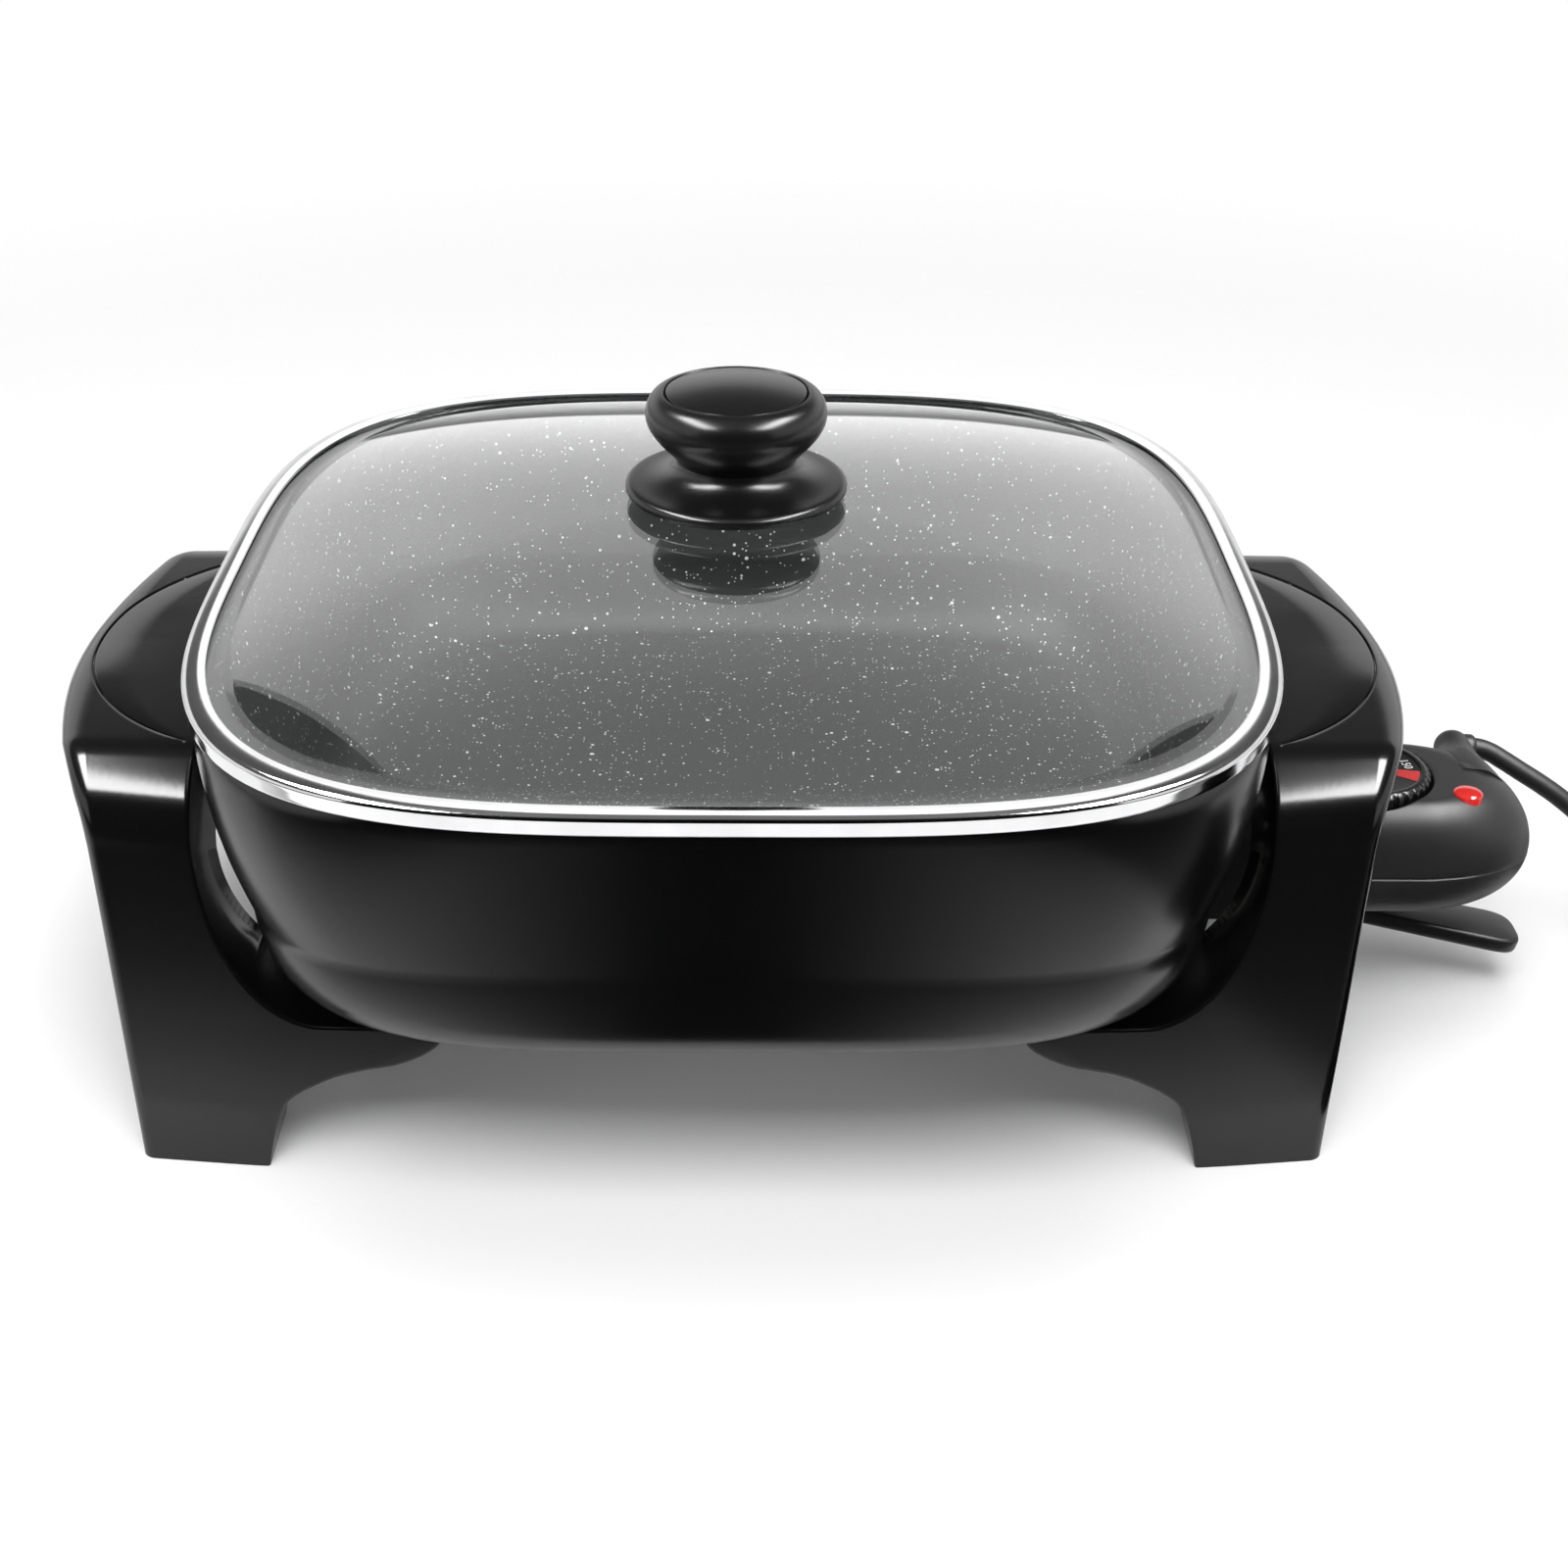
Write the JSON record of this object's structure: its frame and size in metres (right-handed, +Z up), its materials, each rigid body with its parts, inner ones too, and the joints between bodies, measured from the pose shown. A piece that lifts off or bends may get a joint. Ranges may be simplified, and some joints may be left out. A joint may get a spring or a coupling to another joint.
{
  "type": "electric skillet",
  "caption": "Deep square electric skillet on moulded leg-handles, with a domed glass lid, a knob and a plug-in heat control with dial, release lever and cord.",
  "frame": {"origin": "on the table, under the middle of the skillet measured over its handles and heat control", "axes": "+Z up, +X from the pan towards the plug-in heat control, -Y towards the front side of the pan"},
  "size_m": [0.6036, 0.32, 0.21],
  "materials": {
    "pan_coat": "satin dark coat outside, speckled non-stick coat inside",
    "element_steel": "oxidised steel sheath",
    "pin_steel": "bright plated",
    "bush_ceramic": "matte",
    "guard_plastic": "satin",
    "screw_steel": "zinc plated",
    "handle_plastic": "satin moulded",
    "lid_glass": "clear tempered",
    "rim_steel": "polished",
    "knob_plastic": "gloss",
    "cap_plastic": "high gloss",
    "brass": "plain",
    "seal_rubber": "matte",
    "washer_steel": "bright",
    "control_plastic": "satin",
    "block_plastic": "matte heat resistant",
    "probe_steel": "bright",
    "rod_ceramic": "matte",
    "thermostat_ceramic": "matte",
    "lamp_glass": "clear neon lamp",
    "lens_plastic": "red translucent",
    "dial_plastic": "satin with white print",
    "lever_plastic": "satin",
    "spring_steel": "plain",
    "relief_plastic": "satin",
    "cord_rubber": "satin",
    "plug_plastic": "satin",
    "blade_brass": "nickel tint"
  },
  "bodies": {
    "skillet": {"pan": "pan_coat", "heating_element": "element_steel", "terminal_pins": "pin_steel", "terminal_bushes": "bush_ceramic", "terminal_guard": "guard_plastic", "guard_screws": "screw_steel", "handle_left": "handle_plastic", "handle_right": "handle_plastic", "handle_screws": "screw_steel"},
    "lid": {"lid_glass": "lid_glass", "lid_rim": "rim_steel", "knob_base": "knob_plastic", "knob_grip": "knob_plastic", "knob_cap": "cap_plastic", "knob_insert": "brass", "knob_seals": "seal_rubber", "knob_washer": "washer_steel", "knob_screw": "screw_steel"},
    "control": {"control_base": "control_plastic", "control_cover": "control_plastic", "control_screws": "screw_steel", "contact_block": "block_plastic", "contact_sleeves": "brass", "probe_tube": "probe_steel", "sensing_rod": "rod_ceramic", "thermostat": "thermostat_ceramic", "thermostat_blade": "brass", "indicator_lamp": "lamp_glass", "indicator_lens": "lens_plastic", "lever_pin": "pin_steel", "lever_spring": "spring_steel", "strain_relief": "relief_plastic", "cord": "cord_rubber", "cord_coil": "cord_rubber", "cord_tail": "cord_rubber", "plug": "plug_plastic", "plug_blades": "blade_brass"},
    "dial": {"dial": "dial_plastic", "dial_shaft": "pin_steel"},
    "lever": {"release_lever": "lever_plastic"}
  },
  "joints": [
    {"name": "lid_lift", "type": "slide", "parent": "skillet", "child": "lid", "axis": [0, 0, 1], "range_m": [0, 0.12]},
    {"name": "control_pull", "type": "slide", "parent": "skillet", "child": "control", "axis": [1, 0, 0], "range_m": [0, 0.13]},
    {"name": "dial_turn", "type": "hinge", "parent": "control", "child": "dial", "pos_m": [0.17669, -0.004, 0.0744], "axis": [0, 0, -1], "range_deg": [0, 270]},
    {"name": "lever_press", "type": "hinge", "parent": "control", "child": "lever", "pos_m": [0.16069, -0.004, 0.034], "axis": [0, -1, 0], "range_deg": [0, 9], "stiffness_Nm_per_rad": 0.3, "springref_deg": -5.73, "deforming": ["lever_spring"]}
  ]
}
